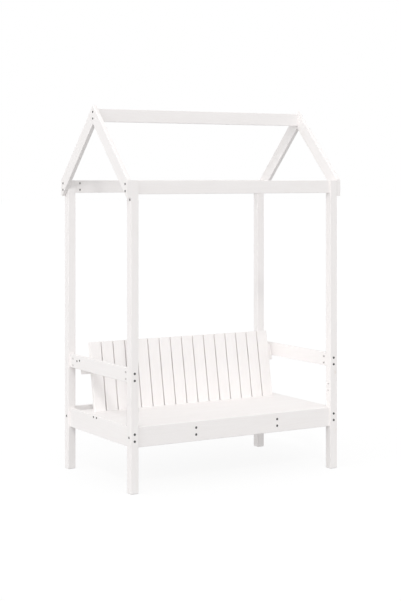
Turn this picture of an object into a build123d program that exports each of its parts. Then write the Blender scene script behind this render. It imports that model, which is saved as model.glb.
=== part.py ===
from build123d import *
import os
from math import atan2, cos, radians, sin

# A child's garden bench under an open gable roof frame, made of painted pine.
# Four square posts carry everything. Boards on edge run between the posts and are drawn up with
# bolts and barrel nuts. The slats of the back lean on a rail that is screwed between the arms.
# Millimetres, +Z up. The front faces -Y. The origin is on the ground under the bench's middle.

os.makedirs("parts", exist_ok=True)

# Frame
frame_width = 1054.0  # over the outer faces of the posts, left to right
frame_depth = 620.0  # over the outer faces of the posts, front to back
post_side = 36.0
post_height = 1292.0
foot_chamfer = 3.0
board_thickness = 18.0  # every board is of one stock
edge_ease = 2.0  # rounding of the long edges

# Roof frame
beam_depth = 56.0  # eave beams and ridge
rafter_depth = 56.0
rafter_heel_rise = 3.0  # a rafter's top edge over its post's top, at the post's outer face
roof_rise = 321.0  # a rafter's top edge from the heel to the apex
rafter_toe_cut = 7.5  # level cut that takes off the sharp lower corner of a rafter's foot
ridge_drop = 15.0  # top of the ridge below the apex

# Seat
rail_bottom = 190.0  # aprons and side rails above the ground
rail_depth = 84.0
rear_apron_rise = 4.0  # rear apron above the front one
bearer_depth = 48.0
bearer_spacing = 415.0
bearer_bolt_edge = 9.5  # bolts from the bearer's upper and lower edges
seat_back_gap = 86.0  # from the seat's free rear edge to the rear apron
plank_count = 4
plank_ease = 0.6
plank_clearance = 0.3  # round each plank, to its neighbours, the rails and the posts
held_plank = 3  # the plank that is also screwed at its ends, counted from the front

# Arms
arm_bottom = 456.0
arm_depth = 60.0
arm_bolt_drop = 4.0  # middle of the bolt pair below the middle of the arm

# Back
slat_width = 54.0
slat_gap = 5.25
slat_end_gap = 20.0  # least room between the outer slats and the arms
slat_length = 306.0
back_lean = 10.0  # degrees from upright
back_setback = 78.5  # front of the slats' feet ahead of the seat's rear edge
back_rail_thickness = 36.0
back_rail_depth = 73.0
back_rail_screw_rise = 7.0  # end screws above the middle of the arm
back_rail_screw_drop = 13.0  # end screws below the rail's upper edge
back_rail_screw_edge = 5.5  # end screws from the rail's front and rear faces
batten_depth = 45.0
batten_end_inset = 16.0  # batten's ends from the outer edges of the outer slats

# Bolts and barrel nuts
bolt_radius = 3.0
bolt_head_radius = 5.25
bolt_head_height = 4.0
bolt_head_round = 0.6
socket_radius = 2.9
socket_depth = 2.6
bolt_pitch = 29.0  # between the two bolts of a pair
bolt_hole_clearance = 0.25
bolt_end_room = 1.0  # hole left beyond a bolt's tip
nut_radius = 5.0
nut_length = 13.0
nut_inset = 27.0  # middle of a nut from the end of its board
nut_clearance = 0.15
bolt_past_nut = 8.0  # tip of a bolt beyond the middle of its nut
nut_slot_width = 1.4
nut_slot_depth = 1.5

# Screws
screw_radius = 2.0
screw_head_radius = 4.0
screw_head_height = 2.2
screw_point_length = 4.0
screw_clearance = 0.1
recess_length = 4.6
recess_width = 1.0
recess_depth = 1.2
seat_end_screw_offset = 14.0  # behind the middle of the plank that they hold
seat_end_screw_rise = 2.0  # above the middle of that plank
seat_screw_bite = 12.0  # length in a plank, from below
slat_screw_bite = 9.0  # length in a slat, from behind
lower_slat_screw_height = 25.0  # along the slat
batten_screw_bite = 15.0
batten_screw_count = 5
batten_screw_edge = 100.0  # end screws from the batten's ends

# Thicker screws, through an arm or a side rail into the end of a board
rail_screw_length = 50.0
rail_screw_radius = 2.5
rail_screw_head_radius = 4.75

# Single screws under the front rafter feet, with heads like the bolts'
post_screw_length = 28.0
post_screw_setback = 10.0  # behind the post's front face
post_screw_drop = 8.5  # below the rafter's foot

# Spare pair of blind holes in the inner face of each front post
spare_hole_radius = 4.0
spare_hole_depth = 20.0
spare_hole_height = 364.0
spare_hole_pitch = 30.0

# Places that follow from the sizes above
half_width = frame_width / 2
half_depth = frame_depth / 2
half_board = board_thickness / 2
post_x = half_width - post_side / 2  # middle of the posts and of the boards between them
post_y = half_depth - post_side / 2
inner_x = half_width - post_side  # inner faces of the posts
inner_y = half_depth - post_side
side_face_x = post_x - half_board  # inner faces of the side rails and arms
apron_face_y = post_y - half_board  # inner faces of the aprons
gable_face_x = half_width + board_thickness  # outer faces of the rafters
beam_mid = post_height - beam_depth / 2
rail_mid = rail_bottom + rail_depth / 2
rear_apron_mid = rail_mid + rear_apron_rise
seat_top = rail_bottom + rail_depth
seat_underside = seat_top - board_thickness
seat_front = -apron_face_y
seat_depth = 2 * apron_face_y - seat_back_gap
bearer_mid = seat_underside - bearer_depth / 2
arm_mid = arm_bottom + arm_depth / 2
arm_bolt_mid = arm_mid - arm_bolt_drop

roof_slope = atan2(roof_rise, half_depth)
plumb_depth = rafter_depth / cos(roof_slope)  # a rafter's depth measured upright
heel_z = post_height + rafter_heel_rise
apex_z = heel_z + roof_rise
toe_z = heel_z - plumb_depth + rafter_toe_cut
ridge_top = apex_z - ridge_drop
ridge_mid = ridge_top - beam_depth / 2

lean = radians(back_lean)
back_foot_y = seat_front + seat_depth - back_setback
slat_pitch = slat_width + slat_gap
slat_count = int((2 * (side_face_x - slat_end_gap) + slat_gap) / slat_pitch)
back_rail_front = board_thickness  # depths behind the slats' front face
back_rail_middle = back_rail_front + back_rail_thickness / 2
back_rail_rear = back_rail_front + back_rail_thickness
batten_rear = 2 * board_thickness
batten_middle = (board_thickness + batten_rear) / 2
plank_pitch = seat_depth / plank_count

SIDES = (("left", -1), ("right", 1))
ENDS = (("front", -1), ("rear", 1))
APRONS = (("front", -1, rail_mid), ("rear", 1, rear_apron_mid))
PAIR = (-bolt_pitch / 2, bolt_pitch / 2)
BEARER_PAIR = (bearer_bolt_edge - bearer_depth / 2, bearer_depth / 2 - bearer_bolt_edge)
RAIL_SCREW_PAIR = (back_rail_front + back_rail_screw_edge, back_rail_rear - back_rail_screw_edge)
ON_TOP = (Align.CENTER, Align.CENTER, Align.MIN)
BELOW = (Align.CENTER, Align.CENTER, Align.MAX)


# A point of the leaning back, from its depth behind the slats' front face and its height along the lean
def on_lean(depth, height):
    y = back_foot_y + height * sin(lean) + depth * cos(lean)
    z = seat_top + height * cos(lean) - depth * sin(lean)
    return (y, z)


# The point at that depth where the lean meets the seat
def on_seat(depth):
    return (back_foot_y + depth / cos(lean), seat_top)


# The height along the lean of a point at that depth, from its height above the ground
def lean_height(depth, z):
    return (z - seat_top + depth * sin(lean)) / cos(lean)


back_rail_screw_height = lean_height(back_rail_middle, arm_mid + back_rail_screw_rise)
back_rail_upper = back_rail_screw_height + back_rail_screw_drop
back_rail_lower = back_rail_upper - back_rail_depth


def write(piece, name):
    piece.part.label = name
    export_step(piece.part, f"parts/{name}.step")


# Takes a tool's shape out of the piece that is being built, at each place
def cut(tool, places):
    with Locations(*places):
        add(tool, mode=Mode.SUBTRACT)


# A socket-head bolt along Z, with its head flush with z = 0 and its tip at the length below that
def bolt(length):
    with BuildPart() as shape:
        Cylinder(bolt_head_radius, bolt_head_height, align=BELOW)
        fillet(shape.edges().group_by(Axis.Z)[-1], bolt_head_round)
        with BuildSketch():
            RegularPolygon(socket_radius, 6)
        extrude(amount=-socket_depth, mode=Mode.SUBTRACT)
        with Locations((0, 0, -bolt_head_height)):
            Cylinder(bolt_radius, length - bolt_head_height, align=BELOW)
    return shape.part


# The stepped hole that such a bolt is sunk in, from just above z = 0
def bolt_hole(length):
    with BuildPart() as shape:
        with Locations((0, 0, bolt_end_room)):
            Cylinder(bolt_radius + bolt_hole_clearance, length + 2 * bolt_end_room, align=BELOW)
            Cylinder(bolt_head_radius + bolt_hole_clearance, bolt_head_height + bolt_end_room, align=BELOW)
    return shape.part


# A countersunk screw along Z, its head flush with z = 0, or the hole for it where slack is given
def screw(length, slack=0.0, radius=screw_radius, head_radius=screw_head_radius):
    with BuildPart() as shape:
        with BuildSketch(Plane.XZ):
            with BuildLine():
                Polyline(
                    (0, 0),
                    (head_radius + slack, 0),
                    (radius + slack, -screw_head_height),
                    (radius + slack, screw_point_length - length),
                    (0, -length - slack),
                    close=True,
                )
            make_face()
        revolve(axis=Axis.Z)
        if slack == 0:
            Box(recess_length, recess_width, recess_depth, align=BELOW, mode=Mode.SUBTRACT)
            Box(recess_width, recess_length, recess_depth, align=BELOW, mode=Mode.SUBTRACT)
    return shape.part


# A group of one fastener, repeated at its places
def fasteners(name, shape, places):
    with BuildPart() as group:
        with Locations(*places):
            add(shape)
    write(group, name)


# Barrel nut along Z with its bolt hole along X, and its bores: +Z is the face that it goes in by
with BuildPart() as nut:
    Cylinder(nut_radius, nut_length)
    Cylinder(bolt_radius + nut_clearance, 2 * nut_radius, rotation=(0, 90, 0), mode=Mode.SUBTRACT)
    with Locations((0, 0, nut_length / 2)):
        Box(2 * nut_radius, nut_slot_width, nut_slot_depth, align=BELOW, mode=Mode.SUBTRACT)

with BuildPart() as blind_nut_bore:
    with Locations((0, 0, half_board + nut_clearance)):
        bore_depth = half_board + nut_length / 2 + 2 * nut_clearance
        Cylinder(nut_radius + nut_clearance, bore_depth, align=BELOW)

with BuildPart() as through_nut_bore:
    Cylinder(nut_radius + nut_clearance, 2 * board_thickness)

# Bolt lengths, heads included
into_board = nut_inset + bolt_past_nut
post_bolt_length = post_side + into_board
beam_bolt_length = board_thickness + post_bolt_length
board_bolt_length = board_thickness + into_board

post_bolt_hole = bolt_hole(post_bolt_length)
beam_bolt_hole = bolt_hole(beam_bolt_length)
board_bolt_hole = bolt_hole(board_bolt_length)
post_screw_hole = bolt_hole(post_screw_length)

# Bolts along X, with their heads outwards, through rafters and posts
beam_bolts = [
    Location((sx * gable_face_x, sy * post_y, beam_mid + dz), (0, sx * 90, 0))
    for sx in (-1, 1) for sy in (-1, 1) for dz in PAIR
]
ridge_bolts = [
    Location((sx * gable_face_x, 0, ridge_mid + dz), (0, sx * 90, 0))
    for sx in (-1, 1) for dz in PAIR
]
apron_bolts = [
    Location((sx * half_width, sy * post_y, z), (0, sx * 90, 0))
    for sx in (-1, 1) for _, sy, z in APRONS
]

# Bolts along Y, with their heads outwards, through posts and aprons
side_rail_bolts = [
    Location((sx * post_x, sy * half_depth, rail_mid + dz), (-sy * 90, 0, 0))
    for sx in (-1, 1) for sy in (-1, 1) for dz in PAIR
]
arm_bolts = [
    Location((sx * post_x, sy * half_depth, arm_bolt_mid + dz), (-sy * 90, 0, 0))
    for sx in (-1, 1) for sy in (-1, 1) for dz in PAIR
]
bearer_bolts = [
    Location(
        (sx * bearer_spacing / 2, sy * (apron_face_y + board_thickness), bearer_mid + dz),
        (-sy * 90, 0, 0),
    )
    for sx in (-1, 1) for sy in (-1, 1) for dz in BEARER_PAIR
]

# Barrel nuts, put in from the inner faces of the boards, and of the ridge from its rear face
beam_nuts = [
    Location((sx * (inner_x - nut_inset), sy * post_y, beam_mid + dz), (sy * 90, 0, 0))
    for sx in (-1, 1) for sy in (-1, 1) for dz in PAIR
]
ridge_nuts = [
    Location((sx * (half_width - nut_inset), 0, ridge_mid + dz), (-90, 0, 0))
    for sx in (-1, 1) for dz in PAIR
]
apron_nuts = [
    Location((sx * (inner_x - nut_inset), sy * post_y, z), (sy * 90, 0, 0))
    for sx in (-1, 1) for _, sy, z in APRONS
]
side_rail_nuts = [
    Location((sx * post_x, sy * (inner_y - nut_inset), rail_mid + dz), (0, -sx * 90, 90))
    for sx in (-1, 1) for sy in (-1, 1) for dz in PAIR
]
arm_nuts = [
    Location((sx * post_x, sy * (inner_y - nut_inset), arm_bolt_mid + dz), (0, -sx * 90, 90))
    for sx in (-1, 1) for sy in (-1, 1) for dz in PAIR
]
bearer_nuts = [
    Location(
        (sx * bearer_spacing / 2, sy * (apron_face_y - nut_inset), bearer_mid + dz),
        (0, -sx * 90, 90),
    )
    for sx in (-1, 1) for sy in (-1, 1) for dz in BEARER_PAIR
]

# Screws through the arms into the ends of the upper back rail
back_rail_screws = []
for sx in (-1, 1):
    for depth in RAIL_SCREW_PAIR:
        y, z = on_lean(depth, back_rail_screw_height)
        place = Location((sx * (post_x + half_board), y, z), (0, sx * 90, 0))
        back_rail_screws.append(place)

# Screws through the side rails into the ends of the held plank
held_plank_y = seat_front + (held_plank - 0.5) * plank_pitch + seat_end_screw_offset
seat_end_screws = [
    Location(
        (sx * (post_x + half_board), held_plank_y + dy, seat_underside + half_board + seat_end_screw_rise),
        (0, sx * 90, 0),
    )
    for sx in (-1, 1) for dy in PAIR
]

# Screws from below, through the bearers into the planks
seat_screws = [
    Location(
        (sx * bearer_spacing / 2, seat_front + (i + 0.5) * plank_pitch, bearer_mid - bearer_depth / 2),
        (180, 0, 0),
    )
    for sx in (-1, 1) for i in range(plank_count)
]

# Screws from behind into each slat, through the upper rail and through the batten
slat_places_x = [(i - (slat_count - 1) / 2) * slat_pitch for i in range(slat_count)]
from_behind = (-90 - back_lean, 0, 0)
upper_y, upper_z = on_lean(back_rail_rear, (back_rail_upper + back_rail_lower) / 2)
lower_y, lower_z = on_lean(batten_rear, lower_slat_screw_height)
upper_slat_screws = [Location((x, upper_y, upper_z), from_behind) for x in slat_places_x]
lower_slat_screws = [Location((x, lower_y, lower_z), from_behind) for x in slat_places_x]

# Screws from below through the rear plank into the batten, below the slats' own screws
batten_y = on_lean(batten_middle, batten_screw_bite)[0]
batten_length = slat_count * slat_pitch - slat_gap - 2 * batten_end_inset
batten_screw_pitch = (batten_length - 2 * batten_screw_edge) / (batten_screw_count - 1)
batten_screws = [
    Location(((i - (batten_screw_count - 1) / 2) * batten_screw_pitch, batten_y, seat_underside), (180, 0, 0))
    for i in range(batten_screw_count)
]

seat_screw_length = bearer_depth + seat_screw_bite
upper_slat_screw_length = back_rail_thickness + slat_screw_bite
lower_slat_screw_length = board_thickness + slat_screw_bite
batten_screw_length = board_thickness + batten_screw_bite

rail_screw = screw(rail_screw_length, 0.0, rail_screw_radius, rail_screw_head_radius)
rail_screw_hole = screw(rail_screw_length, screw_clearance, rail_screw_radius, rail_screw_head_radius)
seat_screw_hole = screw(seat_screw_length, screw_clearance)
upper_slat_screw_hole = screw(upper_slat_screw_length, screw_clearance)
lower_slat_screw_hole = screw(lower_slat_screw_length, screw_clearance)
batten_screw_hole = screw(batten_screw_length, screw_clearance)

# Single screws in the outer faces of the front posts
post_screws = [
    Location((sx * half_width, post_screw_setback - half_depth, toe_z - post_screw_drop), (0, sx * 90, 0))
    for sx in (-1, 1)
]

# Posts
for end, sy in ENDS:
    for side, sx in SIDES:
        with BuildPart() as post:
            with Locations((sx * post_x, sy * post_y, 0)):
                Box(post_side, post_side, post_height, align=ON_TOP)
            chamfer(post.faces().sort_by(Axis.Z)[0].edges(), foot_chamfer)
            fillet(post.edges().filter_by(Axis.Z), edge_ease)
            cut(beam_bolt_hole, beam_bolts)
            cut(post_bolt_hole, side_rail_bolts + arm_bolts + apron_bolts)
            if end == "front":
                cut(post_screw_hole, post_screws)
                spare_x = sx * (inner_x + spare_hole_depth / 2)
                spare_z = (spare_hole_height - spare_hole_pitch / 2, spare_hole_height + spare_hole_pitch / 2)
                with Locations(*[(spare_x, sy * post_y, z) for z in spare_z]):
                    Cylinder(spare_hole_radius, spare_hole_depth, rotation=(0, 90, 0), mode=Mode.SUBTRACT)
        write(post, f"post_{end}_{side}")

# Eave beams
for end, sy in ENDS:
    with BuildPart() as beam:
        with Locations((0, sy * post_y, beam_mid)):
            Box(2 * inner_x, board_thickness, beam_depth)
        fillet(beam.edges().filter_by(Axis.X), edge_ease)
        cut(beam_bolt_hole, beam_bolts)
        cut(blind_nut_bore.part, beam_nuts)
    write(beam, f"eave_beam_{end}")

# Ridge, between the two gables
with BuildPart() as ridge:
    with Locations((0, 0, ridge_mid)):
        Box(2 * half_width, board_thickness, beam_depth)
    fillet(ridge.edges().filter_by(Axis.X), edge_ease)
    cut(board_bolt_hole, ridge_bolts)
    cut(blind_nut_bore.part, ridge_nuts)
write(ridge, "ridge_beam")

# Rafters: at the apex the front one keeps its outer half and the rear one its inner half
lap_y = plumb_depth / 2 / (roof_rise / half_depth)  # half the width of the lap
lap_z = apex_z - plumb_depth / 2
toe_y = half_depth - rafter_toe_cut * half_depth / roof_rise
underside_z = apex_z - plumb_depth
for side, sx in SIDES:
    gable = Plane.YZ.offset(sx * half_width)
    for end, sy in ENDS:
        run = Axis((0, 0, 0), (0, sy * half_depth, -roof_rise))
        with BuildPart() as rafter:
            with BuildSketch(gable):
                with BuildLine():
                    Polyline(
                        (0, apex_z),
                        (sy * half_depth, heel_z),
                        (sy * half_depth, toe_z),
                        (sy * toe_y, toe_z),
                        (-sy * lap_y, lap_z),
                        close=True,
                    )
                make_face()
            extrude(amount=sx * board_thickness)
            fillet(rafter.edges().filter_by(run), edge_ease)
            lost_half = half_width if end == "front" else half_width + half_board
            with BuildSketch(Plane.YZ.offset(sx * lost_half)):
                with BuildLine():
                    Polyline(
                        (0, underside_z),
                        (sy * 2 * lap_y, underside_z + plumb_depth),
                        (-sy * lap_y, apex_z + plumb_depth / 2),
                        (-sy * 2 * lap_y, lap_z),
                        (-sy * lap_y, underside_z - plumb_depth / 2),
                        close=True,
                    )
                make_face()
            extrude(amount=sx * half_board, mode=Mode.SUBTRACT)
            cut(beam_bolt_hole, beam_bolts)
            cut(board_bolt_hole, ridge_bolts)
        write(rafter, f"rafter_{end}_{side}")

# Aprons
for end, sy, z in APRONS:
    with BuildPart() as apron:
        with Locations((0, sy * post_y, z)):
            Box(2 * inner_x, board_thickness, rail_depth)
        fillet(apron.edges().filter_by(Axis.X), edge_ease)
        cut(post_bolt_hole, apron_bolts)
        cut(blind_nut_bore.part, apron_nuts)
        cut(board_bolt_hole, bearer_bolts)
    write(apron, f"apron_{end}")

# Side rails
for side, sx in SIDES:
    with BuildPart() as side_rail:
        with Locations((sx * post_x, 0, rail_mid)):
            Box(board_thickness, 2 * inner_y, rail_depth)
        fillet(side_rail.edges().filter_by(Axis.Y), edge_ease)
        cut(post_bolt_hole, side_rail_bolts)
        cut(blind_nut_bore.part, side_rail_nuts)
        cut(rail_screw_hole, seat_end_screws)
    write(side_rail, f"side_rail_{side}")

# Seat bearers, between the aprons
for side, sx in SIDES:
    with BuildPart() as bearer:
        with Locations((sx * bearer_spacing / 2, 0, bearer_mid)):
            Box(board_thickness, 2 * apron_face_y, bearer_depth)
        fillet(bearer.edges().filter_by(Axis.Y), edge_ease)
        cut(board_bolt_hole, bearer_bolts)
        cut(blind_nut_bore.part, bearer_nuts)
        cut(seat_screw_hole, seat_screws)
    write(bearer, f"seat_bearer_{side}")

# Seat planks, side by side from the front apron backwards; the first is notched round the posts
plank_length = 2 * (side_face_x - plank_clearance)
plank_width = plank_pitch - plank_clearance
notch_x = side_face_x - inner_x + plank_clearance
notch_y = apron_face_y - inner_y + plank_clearance
for i in range(plank_count):
    with BuildPart() as plank:
        with Locations((0, seat_front + (i + 0.5) * plank_pitch, seat_underside)):
            Box(plank_length, plank_width, board_thickness, align=ON_TOP)
        fillet(plank.edges().filter_by(Axis.X), plank_ease)
        if i == 0:
            with Locations(*[(sx * side_face_x, seat_front, seat_top) for sx in (-1, 1)]):
                Box(2 * notch_x, 2 * notch_y, 3 * board_thickness, mode=Mode.SUBTRACT)
        cut(seat_screw_hole, seat_screws)
        cut(rail_screw_hole, seat_end_screws)
        cut(batten_screw_hole, batten_screws)
    write(plank, f"seat_plank_{i + 1}")

# Arms
for side, sx in SIDES:
    with BuildPart() as arm:
        with Locations((sx * post_x, 0, arm_mid)):
            Box(board_thickness, 2 * inner_y, arm_depth)
        fillet(arm.edges().filter_by(Axis.Y), edge_ease)
        cut(post_bolt_hole, arm_bolts)
        cut(through_nut_bore.part, arm_nuts)
        cut(rail_screw_hole, back_rail_screws)
    write(arm, f"arm_{side}")

# Back slats, standing on the seat with their feet cut level
up_the_lean = Axis((0, 0, 0), (0, sin(lean), cos(lean)))
for i, x in enumerate(slat_places_x):
    with BuildPart() as slat:
        with BuildSketch(Plane.YZ.offset(x - slat_width / 2)):
            with BuildLine():
                Polyline(
                    on_seat(0),
                    on_lean(0, slat_length),
                    on_lean(board_thickness, slat_length),
                    on_seat(board_thickness),
                    close=True,
                )
            make_face()
        extrude(amount=slat_width)
        fillet(slat.edges().filter_by(up_the_lean), edge_ease)
        cut(upper_slat_screw_hole, upper_slat_screws[i:i + 1])
        cut(lower_slat_screw_hole, lower_slat_screws[i:i + 1])
    write(slat, f"back_slat_{i + 1:02d}")

# Upper back rail, between the arms
with BuildPart() as back_rail:
    with BuildSketch(Plane.YZ.offset(-side_face_x)):
        with BuildLine():
            Polyline(
                on_lean(back_rail_front, back_rail_lower),
                on_lean(back_rail_front, back_rail_upper),
                on_lean(back_rail_rear, back_rail_upper),
                on_lean(back_rail_rear, back_rail_lower),
                close=True,
            )
        make_face()
    extrude(amount=2 * side_face_x)
    fillet(back_rail.edges().filter_by(Axis.X), edge_ease)
    cut(rail_screw_hole, back_rail_screws)
    cut(upper_slat_screw_hole, upper_slat_screws)
write(back_rail, "back_rail_upper")

# Lower batten, on the seat behind the slats and a little short of their width
with BuildPart() as batten:
    with BuildSketch(Plane.YZ.offset(-batten_length / 2)):
        with BuildLine():
            Polyline(
                on_seat(board_thickness),
                on_lean(board_thickness, batten_depth),
                on_lean(batten_rear, batten_depth),
                on_seat(batten_rear),
                close=True,
            )
        make_face()
    extrude(amount=batten_length)
    fillet(batten.edges().filter_by(Axis.X).group_by(Axis.Z)[-1], edge_ease)
    cut(lower_slat_screw_hole, lower_slat_screws)
    cut(batten_screw_hole, batten_screws)
write(batten, "back_batten_lower")

# Fasteners
fasteners("eave_beam_bolts", bolt(beam_bolt_length), beam_bolts)
fasteners("ridge_bolts", bolt(board_bolt_length), ridge_bolts)
fasteners("apron_bolts", bolt(post_bolt_length), apron_bolts)
fasteners("side_rail_bolts", bolt(post_bolt_length), side_rail_bolts)
fasteners("arm_bolts", bolt(post_bolt_length), arm_bolts)
fasteners("bearer_bolts", bolt(board_bolt_length), bearer_bolts)
fasteners("roof_barrel_nuts", nut.part, beam_nuts + ridge_nuts)
fasteners("seat_barrel_nuts", nut.part, apron_nuts + side_rail_nuts + bearer_nuts)
fasteners("arm_barrel_nuts", nut.part, arm_nuts)
fasteners("back_rail_screws", rail_screw, back_rail_screws)
fasteners("seat_end_screws", rail_screw, seat_end_screws)
fasteners("seat_plank_screws", screw(seat_screw_length), seat_screws)
fasteners("slat_screws_upper", screw(upper_slat_screw_length), upper_slat_screws)
fasteners("slat_screws_lower", screw(lower_slat_screw_length), lower_slat_screws)
fasteners("batten_screws", screw(batten_screw_length), batten_screws)
fasteners("front_post_screws", bolt(post_screw_length), post_screws)
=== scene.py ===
from math import cos, pi, radians, sin, tau
from random import Random

import bmesh
import bpy
import numpy as np
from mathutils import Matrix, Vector


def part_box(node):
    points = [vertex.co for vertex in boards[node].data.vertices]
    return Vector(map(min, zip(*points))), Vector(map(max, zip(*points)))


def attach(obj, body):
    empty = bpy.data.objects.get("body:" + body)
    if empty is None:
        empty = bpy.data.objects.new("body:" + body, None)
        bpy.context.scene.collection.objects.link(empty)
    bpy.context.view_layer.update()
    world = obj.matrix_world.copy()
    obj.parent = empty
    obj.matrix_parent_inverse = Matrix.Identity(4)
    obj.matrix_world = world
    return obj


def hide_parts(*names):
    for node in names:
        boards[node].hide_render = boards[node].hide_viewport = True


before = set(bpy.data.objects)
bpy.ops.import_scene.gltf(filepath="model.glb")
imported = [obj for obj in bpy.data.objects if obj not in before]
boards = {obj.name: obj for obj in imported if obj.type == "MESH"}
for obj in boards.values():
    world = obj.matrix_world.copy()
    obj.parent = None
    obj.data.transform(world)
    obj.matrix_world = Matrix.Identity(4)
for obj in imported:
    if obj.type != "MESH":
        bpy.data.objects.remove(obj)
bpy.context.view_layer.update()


# Posts
# Four square posts of planed pine stand on the ground and carry everything else.
# Their long edges are eased and their feet chamfered, and they are painted white before assembly.
class Wire:
    """A socket in a node tree. Arithmetic on wires adds Math nodes to the tree."""

    def __init__(self, tree, socket=None):
        self.tree = tree
        self.socket = socket

    def add(self, kind, settings=None, inputs=None, output=0):
        node = self.tree.nodes.new(kind)
        for name, value in (settings or {}).items():
            setattr(node, name, value)
        for key, value in (inputs or {}).items():
            for one in value if isinstance(value, list) else [value]:
                if isinstance(one, Wire):
                    self.tree.links.new(one.socket, node.inputs[key])
                else:
                    node.inputs[key].default_value = one
        return Wire(self.tree, node.outputs[output])

    def beside(self, output):
        return Wire(self.tree, self.socket.node.outputs[output])

    def into(self, socket):
        self.tree.links.new(self.socket, socket)

    def __add__(self, other):
        return self.add("ShaderNodeMath", {"operation": "ADD"}, {0: self, 1: other})

    def __sub__(self, other):
        return self.add("ShaderNodeMath", {"operation": "SUBTRACT"}, {0: self, 1: other})

    def __rsub__(self, other):
        return self.add("ShaderNodeMath", {"operation": "SUBTRACT"}, {0: other, 1: self})

    def __mul__(self, other):
        return self.add("ShaderNodeMath", {"operation": "MULTIPLY"}, {0: self, 1: other})

    def __truediv__(self, other):
        return self.add("ShaderNodeMath", {"operation": "DIVIDE"}, {0: self, 1: other})

    def __pow__(self, power):
        return self.add("ShaderNodeMath", {"operation": "POWER"}, {0: self, 1: power})

    def __gt__(self, other):
        return self.add("ShaderNodeMath", {"operation": "GREATER_THAN"}, {0: self, 1: other})

    __radd__ = __add__
    __rmul__ = __mul__


def board_axes(board):
    """Unit vectors along a board, across its face and through it, from the areas of its faces.
    Faces that point in opposite directions count together."""
    area = {}
    normal = {}
    for face in boards[board].data.polygons:
        key = tuple(round(c, 2) + 0.0 for c in face.normal)
        if key < (0, 0, 0):
            key = tuple(0.0 - c for c in key)
        area[key] = area.get(key, 0) + face.area
        normal.setdefault(key, face.normal.copy())
    broad, edge = sorted(area, key=area.get)[-1:-3:-1]
    through = normal[broad]
    across = normal[edge]
    return through.cross(across).normalized(), across, through


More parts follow.
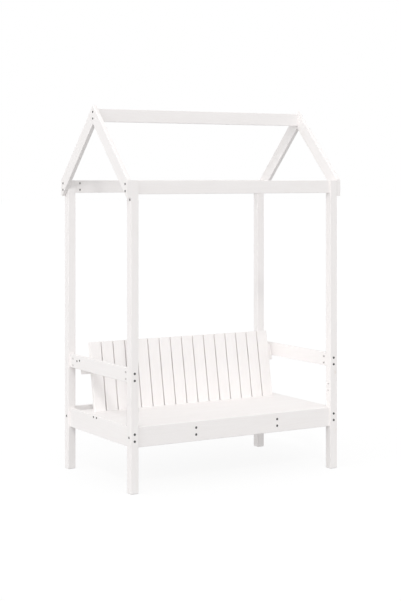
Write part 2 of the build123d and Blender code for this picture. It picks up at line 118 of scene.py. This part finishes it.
def painted_pine(board, seed, knots, grain):
    """White paint over pine: rings and fibres run along the board and bend round its knots.
    Lengths are in millimetres. The seed picks the board's own figure, knots is the share of likely
    places that hold a knot, and grain is how strongly the wood shows through the paint."""
    white = (0.892, 0.868, 0.861, 1)
    grain_tone = (0.81, 0.772, 0.752, 1)
    knot_tone = (0.72, 0.65, 0.58, 1)
    end_tone = (0.77, 0.745, 0.73, 1)
    ring_width = 5.5
    ring_bend = 9.0
    pith_wander = 70.0
    knot_spacing = (240.0, 70.0, 60.0)
    smallest_knot, largest_knot = 4.0, 9.0
    knot_width = 0.63  # of its length along the board
    draw = Random(seed)
    pith_across = draw.uniform(-25, 25)
    pith_depth = draw.uniform(25, 60)
    board_tone = draw.uniform(0, 0.1)

    material = bpy.data.materials.new("painted_pine_" + board)
    material.use_nodes = True
    shader = material.node_tree.nodes["Principled BSDF"]
    wire = Wire(material.node_tree)

    def vector(*parts):
        return wire.add("ShaderNodeCombineXYZ", inputs=dict(enumerate(parts)))

    def dot(one, other):
        return wire.add("ShaderNodeVectorMath", {"operation": "DOT_PRODUCT"}, {0: one, 1: other}, "Value")

    def mix(mask, under, over):
        return wire.add("ShaderNodeMix", {"data_type": "RGBA"}, {0: mask, 6: under, 7: over}, 2)

    def fade(value, inner, outer):
        ends = {"Value": value, "From Min": inner, "From Max": outer, "To Min": 1.0, "To Max": 0.0}
        return wire.add("ShaderNodeMapRange", {"interpolation_type": "SMOOTHSTEP"}, ends)

    # Millimetres along the board, across its face and through it, from its middle
    place = wire.add("ShaderNodeTexCoord", output="Object")
    low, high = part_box(board)
    local = wire.add("ShaderNodeVectorMath", {"operation": "SUBTRACT"}, {0: place, 1: (low + high) / 2})
    axes = board_axes(board)
    u, v, w = [dot(local, 1000 * axis) for axis in axes]

    def noise(length, width, detail):
        shift = [draw.uniform(0, 90) for _ in range(3)]
        where = vector(u / length + shift[0], v / width + shift[1], w / width + shift[2])
        return wire.add("ShaderNodeTexNoise", inputs={"Vector": where, "Scale": 1.0, "Detail": detail})

    # Knots, scattered thinly through the wood
    offset = [draw.uniform(0, 40) for _ in knot_spacing]
    cells = vector(*[axis / step + shift for axis, step, shift in zip((u, v, w), knot_spacing, offset)])
    cell = wire.add("ShaderNodeTexVoronoi", inputs={"Vector": cells, "Scale": 1.0}, output="Position")
    away = wire.add("ShaderNodeVectorMath", {"operation": "SUBTRACT"}, {0: cells, 1: cell})
    reach = (knot_spacing[0] * knot_width, knot_spacing[1], knot_spacing[2])
    apart = wire.add("ShaderNodeVectorMath", {"operation": "MULTIPLY"}, {0: away, 1: reach})
    distance = wire.add("ShaderNodeVectorMath", {"operation": "LENGTH"}, {0: apart}, "Value")
    chance = wire.add("ShaderNodeSeparateColor", inputs={0: cell.beside("Color")}, output="Red")
    present = chance > 1 - knots
    radius = chance.beside("Green") * (largest_knot - smallest_knot) + smallest_knot
    near = distance / radius
    knot = present * fade(near, inner=0.5, outer=1.0)
    bend = present * fade(near, inner=0.0, outer=3.0)

    # Rings round a pith that lies below the board and wanders along it
    sway = (noise(length=900.0, width=160.0, detail=1.0) - 0.5) * pith_wander + v - pith_across
    rise = (noise(length=700.0, width=160.0, detail=1.0) - 0.5) * pith_wander + w + pith_depth
    ring_radius = (sway * sway + rise * rise) ** 0.5 + bend * ring_bend
    wave = wire.add("ShaderNodeMath", {"operation": "SINE"}, {0: ring_radius * (tau / ring_width)})
    ring = wave * 0.5 + 0.5

    # Fibres, blotches where the wood drank more of the paint, and the fine dimples of the dried coat
    fibre = noise(length=110.0, width=2.2, detail=2.0)
    blotch = noise(length=170.0, width=48.0, detail=2.0)
    peel = noise(length=2.6, width=2.6, detail=1.0)

    # End grain, where the saw cut across the board, soaks up the paint
    facing = dot(place.beside("Normal"), axes[0])
    end = wire.add(
        "ShaderNodeMapRange", inputs={"Value": facing * facing, "From Min": 0.4, "From Max": 0.8}
    )

    # How much each of them shows in the colour and in the roughness
    ring_share, fibre_share, blotch_share, noise_low = 0.14, 0.4, 0.6, 0.4
    streaks = ring_share * ring + fibre_share * (fibre - noise_low) + blotch_share * (blotch - noise_low)
    knot_share, bend_share, end_share = 0.3, 0.08, 0.35
    colour = mix(grain * streaks + board_tone, white, grain_tone)
    colour = mix(knot_share * knot + bend_share * bend, colour, knot_tone)
    colour = mix(end_share * end, colour, end_tone)
    colour.into(shader.inputs["Base Color"])
    plain_rough, blotch_rough, ring_rough, end_rough = 0.44, 0.12, 0.05, 0.2
    roughness = plain_rough + blotch_rough * blotch + ring_rough * ring + end_rough * end
    roughness.into(shader.inputs["Roughness"])

    # The relief that shows through the paint, in millimetres
    ring_height, fibre_height, peel_height, knot_height = 0.02, 0.03, 0.015, 0.05
    relief = ring_height * ring + fibre_height * fibre + peel_height * peel + knot_height * knot
    bump = wire.add("ShaderNodeBump", inputs={"Distance": 0.001, "Height": relief})
    bump.into(shader.inputs["Normal"])
    shader.inputs["Specular IOR Level"].default_value = 0.4
    return material


def paint(names, first_seed, knots, grain):
    """Paints each board, with a figure of its own."""
    for i, name in enumerate(names):
        boards[name].material_slots[0].material = painted_pine(name, first_seed + i, knots, grain)


posts = ["post_front_left", "post_front_right", "post_rear_left", "post_rear_right"]
paint(posts, first_seed=100, knots=0.3, grain=0.6)


# Eave beams and ridge
# Three boards on edge run from gable to gable, bolted through the posts and the rafters.
# They are cut from one size of planed pine, their ends left square.
paint(["eave_beam_front", "eave_beam_rear", "ridge_beam"], first_seed=200, knots=0.22, grain=0.6)


# Rafters
# Four boards lie flat against the outer faces of the posts and are halved over each other at the apex.
# Their feet are cut plumb with the posts, with the sharp toe cut level.
rafters = ["rafter_front_left", "rafter_front_right", "rafter_rear_left", "rafter_rear_right"]
paint(rafters, first_seed=300, knots=0.25, grain=0.6)


# Seat frame
# Two aprons and two side rails on edge close the seat box, bolted to the posts.
# Two bearers run under the seat from apron to apron.
seat_box = ["apron_front", "apron_rear", "side_rail_left", "side_rail_right"]
paint(seat_box, first_seed=400, knots=0.25, grain=0.6)
paint(["seat_bearer_left", "seat_bearer_right"], first_seed=450, knots=0.25, grain=0.6)


# Seat
# Four wide planks lie edge to edge on the bearers, level with the tops of the rails.
# They are screwed from below, so no fixing shows on the seat.
planks = sorted(name for name in boards if name.startswith("seat_plank_") and name[-1].isdigit())
paint(planks, first_seed=500, knots=0.3, grain=0.8)


# Arms
# A board on edge on each side, between the front and the rear post.
# It is drawn up with bolts and barrel nuts, and also holds the upper back rail.
paint(["arm_left", "arm_right"], first_seed=600, knots=0.25, grain=0.6)


# Back
# Sixteen narrow slats stand on the seat and lean against a rail and a batten.
# They are screwed from behind, and each was cut from another length of stock.
slats = sorted(name for name in boards if name.startswith("back_slat_"))
paint(slats, first_seed=700, knots=0.16, grain=0.8)
paint(["back_rail_upper", "back_batten_lower"], first_seed=750, knots=0.25, grain=0.6)


# Connecting bolts
# Low-headed bolts with a hexagon socket, sunk flush with the wood, draw every frame joint tight.
# They are zinc plated and dulled, and each stopped at its own angle when it was tightened.
# A single screw with such a head sits in the outer face of each front post, under the rafter's foot.
def solids(name):
    """The points of each separate solid in a group of fasteners."""
    mesh = bmesh.new()
    mesh.from_mesh(boards[name].data)
    bmesh.ops.remove_doubles(mesh, verts=mesh.verts, dist=1e-6)
    mesh.verts.index_update()
    seen = set()
    for first in mesh.verts:
        if first.index in seen:
            continue
        seen.add(first.index)
        reached = [first]
        for vert in reached:
            for edge in vert.link_edges:
                other = edge.other_vert(vert)
                if other.index not in seen:
                    seen.add(other.index)
                    reached.append(other)
        yield np.array([vert.co for vert in reached])
    mesh.free()


def fastener_places(names):
    """Where the tops of the heads are, which way they face and how far below them the tips are."""
    for name in names:
        for points in solids(name):
            middle = (points.min(0) + points.max(0)) / 2
            axis = np.linalg.svd(points - points.mean(0), full_matrices=False)[2][0]
            along = (points - middle) @ axis
            off_axis = np.linalg.norm(points - middle - np.outer(along, axis), axis=1)
            if along[off_axis.argmax()] < 0:
                axis, along = -axis, -along
            yield middle + along.max() * axis, axis, along.max() - along.min()


def turned(name, tip, head, recess, lobes):
    """A lathe-turned fastener on the Z axis, in two profiles: up from its tip, and from under its head
    to the middle of its top. Radii are shares of the head's radius, and heights are in metres.
    The rings of the head that are named in recess have the lobes of a socket."""
    sides = 24
    mesh = bmesh.new()
    at_tip = mesh.verts.layers.float.new("at_tip")
    rings = []
    for i, (radius, z) in enumerate(tip + head, -len(tip)):
        ring = []
        for k in range(sides if radius else 1):
            angle = tau * k / sides
            reach = radius * lobes[k % len(lobes)] if i in recess else radius
            vert = mesh.verts.new((reach * cos(angle), reach * sin(angle), z))
            vert[at_tip] = i < 0
            ring.append(vert)
        rings.append(ring)
    for lower, upper in zip(rings, rings[1:]):
        for k in range(sides):
            corners = [lower[k % len(lower)], lower[(k + 1) % len(lower)]]
            corners += [upper[(k + 1) % len(upper)], upper[k % len(upper)]]
            mesh.faces.new(dict.fromkeys(corners))
    data = bpy.data.meshes.new(name)
    mesh.to_mesh(data)
    mesh.free()
    shape = bpy.data.objects.new(name, data)
    bpy.context.scene.collection.objects.link(shape)
    return shape


def fastener_tree():
    """A node tree that sets a fastener at each place, turned at random, and draws out its tip."""
    tree = bpy.data.node_groups.new("set_fasteners", "GeometryNodeTree")
    inputs = {
        "Places": "Geometry", "Fastener": "Object", "Head Radius": "Float",
        "Finish": "Material", "Seed": "Int",
    }
    for name, kind in inputs.items():
        tree.interface.new_socket(name, in_out="INPUT", socket_type="NodeSocket" + kind)
    tree.interface.new_socket("Fasteners", in_out="OUTPUT", socket_type="NodeSocketGeometry")
    wire = Wire(tree)
    given = wire.add("NodeGroupInput", output="Places")

    def attribute(name, kind):
        return wire.add("GeometryNodeInputNamedAttribute", {"data_type": kind}, {"Name": name})

    axis = attribute("axis", "FLOAT_VECTOR")
    least, most, number = 2, 3, 1  # the sockets of a plain random number
    angle = wire.add(
        "FunctionNodeRandomValue",
        inputs={least: 0.0, most: tau, "Seed": given.beside("Seed")}, output=number,
    )
    facing = wire.add("FunctionNodeAlignRotationToVector", {"axis": "Z"}, {"Vector": axis})
    spin = wire.add("FunctionNodeAxisAngleToRotation", inputs={"Axis": (0, 0, 1), "Angle": angle})
    turn = wire.add(
        "FunctionNodeRotateRotation", {"rotation_space": "LOCAL"}, {"Rotation": facing, "Rotate By": spin}
    )
    shape = wire.add(
        "GeometryNodeObjectInfo", inputs={"Object": given.beside("Fastener")}, output="Geometry"
    )
    wide = given.beside("Head Radius")
    scale = wire.add("ShaderNodeCombineXYZ", inputs={0: wide, 1: wide, 2: 1.0})
    placed = wire.add(
        "GeometryNodeInstanceOnPoints",
        inputs={"Points": given, "Instance": shape, "Rotation": turn, "Scale": scale},
    )
    real = wire.add("GeometryNodeRealizeInstances", inputs={0: placed})
    draw = attribute("at_tip", "FLOAT") * attribute("length", "FLOAT")
    down = wire.add("ShaderNodeVectorMath", {"operation": "SCALE"}, {0: axis, "Scale": 0 - draw})
    sized = wire.add("GeometryNodeSetPosition", inputs={"Geometry": real, "Offset": down})
    finished = wire.add(
        "GeometryNodeSetMaterial", inputs={"Geometry": sized, "Material": given.beside("Finish")}
    )
    out = tree.nodes.new("NodeGroupOutput")
    finished.into(out.inputs["Fasteners"])
    return tree


set_fasteners = fastener_tree()


def fasten(name, groups, fastener, head_radius, finish, seed):
    """Makes one piece of all the fasteners of a kind, in place of their solids."""
    places = list(fastener_places(groups))
    mesh = bpy.data.meshes.new(name + "_places")
    mesh.from_pydata([tuple(point) for point, _, _ in places], [], [])
    axes = mesh.attributes.new("axis", "FLOAT_VECTOR", "POINT")
    axes.data.foreach_set("vector", np.array([axis for _, axis, _ in places], np.float32).ravel())
    lengths = mesh.attributes.new("length", "FLOAT", "POINT")
    lengths.data.foreach_set("value", np.array([length for _, _, length in places], np.float32))
    points = bpy.data.objects.new(name + "_places", mesh)
    bpy.context.scene.collection.objects.link(points)
    modifier = points.modifiers.new("fasteners", "NODES")
    modifier.node_group = set_fasteners
    given = {"Fastener": fastener, "Head Radius": head_radius, "Finish": finish, "Seed": seed}
    for item in set_fasteners.interface.items_tree:
        if item.name in given:
            modifier[item.identifier] = given[item.name]
    bpy.context.view_layer.update()
    depsgraph = bpy.context.evaluated_depsgraph_get()
    made = bpy.data.meshes.new_from_object(points.evaluated_get(depsgraph))
    bpy.data.objects.remove(points)
    piece = bpy.data.objects.new(name, made)
    bpy.context.scene.collection.objects.link(piece)
    made.shade_smooth()
    made.set_sharp_from_angle(angle=radians(35))
    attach(piece, "root")
    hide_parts(*groups)


def plated_steel(name, bright, dull, roughness):
    """Zinc plating with a faint cloudy passivation and fine scuffs, both sized per metre."""
    cloud_scale, scuff_scale = 260.0, 1400.0
    scuff_share, scuff_depth = 0.25, 0.00002
    material = bpy.data.materials.new(name)
    material.use_nodes = True
    shader = material.node_tree.nodes["Principled BSDF"]
    wire = Wire(material.node_tree)
    place = wire.add("ShaderNodeTexCoord", output="Object")
    cloud = wire.add("ShaderNodeTexNoise", inputs={"Vector": place, "Scale": cloud_scale, "Detail": 3.0})
    scuff = wire.add("ShaderNodeTexNoise", inputs={"Vector": place, "Scale": scuff_scale, "Detail": 2.0})
    colour = wire.add("ShaderNodeMix", {"data_type": "RGBA"}, {0: cloud, 6: bright, 7: dull}, 2)
    colour.into(shader.inputs["Base Color"])
    (roughness + scuff_share * (scuff - 0.5)).into(shader.inputs["Roughness"])
    bump = wire.add("ShaderNodeBump", inputs={"Distance": scuff_depth, "Height": scuff})
    bump.into(shader.inputs["Normal"])
    shader.inputs["Metallic"].default_value = 1.0
    return material


dull_bolt_steel = plated_steel(
    "dull_bolt_steel", bright=(0.16, 0.16, 0.164, 1), dull=(0.096, 0.095, 0.092, 1), roughness=0.42
)
hexagon = (1, 0.897, 0.866, 0.897)  # its reach at every 15 degrees, from a corner to the next
bolt = turned(
    "bolt",
    tip=[(0, 0), (0.42, 0), (0.57, 0.0008)],
    head=[
        (0.57, -0.004), (1, -0.004), (1, -0.0006), (0.97, -0.0002), (0.9, 0),
        (0.59, 0), (0.55, -0.0002), (0.55, -0.0026), (0.23, -0.0031), (0, -0.0032),
    ],
    recess=(5, 6, 7), lobes=hexagon,
)
fasten(
    "connecting_bolts",
    [
        "eave_beam_bolts", "ridge_bolts", "apron_bolts", "side_rail_bolts", "arm_bolts", "bearer_bolts",
        "front_post_screws",
    ],
    fastener=bolt, head_radius=0.00525, finish=dull_bolt_steel, seed=11,
)
bpy.data.objects.remove(bolt)


# Barrel nuts
# Short cross-drilled cylinders with a screwdriver slot, which the bolts draw into.
# They sit a little below the faces of the boards and are left bright, but their zinc colour is darkened
# with painted shade from the holes they sit in.
# These zinc tones are darker than the bare metal: they carry painted shade of the recesses that the nuts
# sit in.
zinc_with_hole_shade = plated_steel(
    "zinc_with_hole_shade", bright=(0.42, 0.42, 0.41, 1), dull=(0.28, 0.28, 0.27, 1), roughness=0.35
)
for group in ("roof_barrel_nuts", "seat_barrel_nuts", "arm_barrel_nuts"):
    boards[group].material_slots[0].material = zinc_with_hole_shade


# Wood screws
# Countersunk screws with a cross recess hold the back, the seat and its batten, with their heads flush.
# Those through the arms and the side rails are thicker, because they go into end grain.
dark_screw_steel = plated_steel(
    "dark_screw_steel", bright=(0.04, 0.039, 0.038, 1), dull=(0.024, 0.023, 0.023, 1), roughness=0.45
)
cross = (1, 0.62, 0.4, 0.4, 0.4, 0.62)  # its reach at every 15 degrees, from one wing to the next
wood_screw = turned(
    "wood_screw",
    tip=[(0, 0), (0.51, 0.004)],
    head=[(0.51, -0.0022), (0.98, -0.0002), (1, 0), (0.6, 0), (0.3, -0.0014), (0, -0.0016)],
    recess=(3, 4), lobes=cross,
)
fasten(
    "end_grain_screws", ["back_rail_screws", "seat_end_screws"],
    fastener=wood_screw, head_radius=0.00475, finish=dark_screw_steel, seed=31,
)
fasten(
    "wood_screws", ["seat_plank_screws", "slat_screws_upper", "slat_screws_lower", "batten_screws"],
    fastener=wood_screw, head_radius=0.004, finish=dark_screw_steel, seed=23,
)
bpy.data.objects.remove(wood_screw)


# Floor, light and camera
# A plain white floor and surround, a weak key from the front left and three broad soft lights.
# All are far off, so the light is even from end to end, and the floor keeps a faint shadow.
floor_reach = 60
floor_corners = [(x * floor_reach, y * floor_reach, 0) for x, y in ((-1, -1), (1, -1), (1, 1), (-1, 1))]
floor_mesh = bpy.data.meshes.new("floor")
floor_mesh.from_pydata(floor_corners, [], [(0, 1, 2, 3)])
floor = bpy.data.objects.new("floor", floor_mesh)
bpy.context.scene.collection.objects.link(floor)


def seen_directly(wire):
    """1 for what the camera sees, also in metal and through glass, and 0 for what lights the bench."""
    path = wire.add("ShaderNodeLightPath", output="Is Camera Ray")
    glossy = path.beside("Is Glossy Ray")
    through = path.beside("Is Transmission Ray")
    either = wire.add("ShaderNodeMath", {"operation": "MAXIMUM"}, {0: glossy, 1: through})
    return wire.add("ShaderNodeMath", {"operation": "MAXIMUM"}, {0: path, 1: either})


white = (1, 1, 1, 1)
bounce_level = 0.52
shadow_share = 0.14
floor_paint = bpy.data.materials.new("floor_paint")
floor_paint.use_nodes = True
floor_paint.node_tree.nodes.remove(floor_paint.node_tree.nodes["Principled BSDF"])
wire = Wire(floor_paint.node_tree)
white_light = wire.add("ShaderNodeEmission", inputs={"Color": white, "Strength": 1.0})
pale_floor = wire.add("ShaderNodeBsdfDiffuse", inputs={"Color": white})
floor_bounce = wire.add("ShaderNodeEmission", inputs={"Color": white, "Strength": bounce_level})
shown = wire.add("ShaderNodeMixShader", inputs={0: shadow_share, 1: white_light, 2: pale_floor})
surface = wire.add("ShaderNodeMixShader", inputs={0: seen_directly(wire), 1: floor_bounce, 2: shown})
surface.into(floor_paint.node_tree.nodes["Material Output"].inputs["Surface"])
floor_mesh.materials.append(floor_paint)

sky_level = 0.795
world = bpy.data.worlds.new("white_surround")
world.use_nodes = True
bpy.context.scene.world = world
wire = Wire(world.node_tree)
seen = seen_directly(wire)
background = world.node_tree.nodes["Background"]
background.inputs["Color"].default_value = white
(sky_level + (1 - sky_level) * seen).into(background.inputs["Strength"])


def distant_lamp(name, towards, strength, spread):
    """A light from far off, with the direction that it shines in and its spread in degrees."""
    data = bpy.data.lights.new(name, "SUN")
    data.energy = strength
    data.angle = radians(spread)
    light = bpy.data.objects.new(name, data)
    light.rotation_euler = Vector(towards).to_track_quat("-Z", "Y").to_euler()
    bpy.context.scene.collection.objects.link(light)


distant_lamp("key_light", towards=(0.360, 0.704, -0.613), strength=0.51, spread=6)
distant_lamp("front_light", towards=(0.27, 0.80, -0.54), strength=0.395, spread=70)
distant_lamp("left_light", towards=(0.88, 0.28, -0.38), strength=0.43, spread=90)
distant_lamp("low_left_light", towards=(0.95, 0.20, -0.25), strength=0.60, spread=40)

bpy.context.scene.view_settings.view_transform = "Standard"

# The picture is 401 by 601, and its long side is the sensor's width
picture_width, picture_height = 401, 601
focal_pixels = 1396.55
horizon_pixel = 175.93
axis_pixel = 170.0
camera_place = (-3.28126, -5.34918, 1.31178)
camera_heading = -0.52813
camera_data = bpy.data.cameras.new("camera")
camera_data.sensor_width = 36.0
camera_data.lens = focal_pixels / picture_height * camera_data.sensor_width
camera_data.shift_x = (picture_width / 2 - axis_pixel) / picture_height
camera_data.shift_y = (horizon_pixel - picture_height / 2) / picture_height
camera = bpy.data.objects.new("camera", camera_data)
camera.location = camera_place
camera.rotation_euler = (pi / 2, 0, camera_heading)
bpy.context.scene.collection.objects.link(camera)
bpy.context.scene.camera = camera
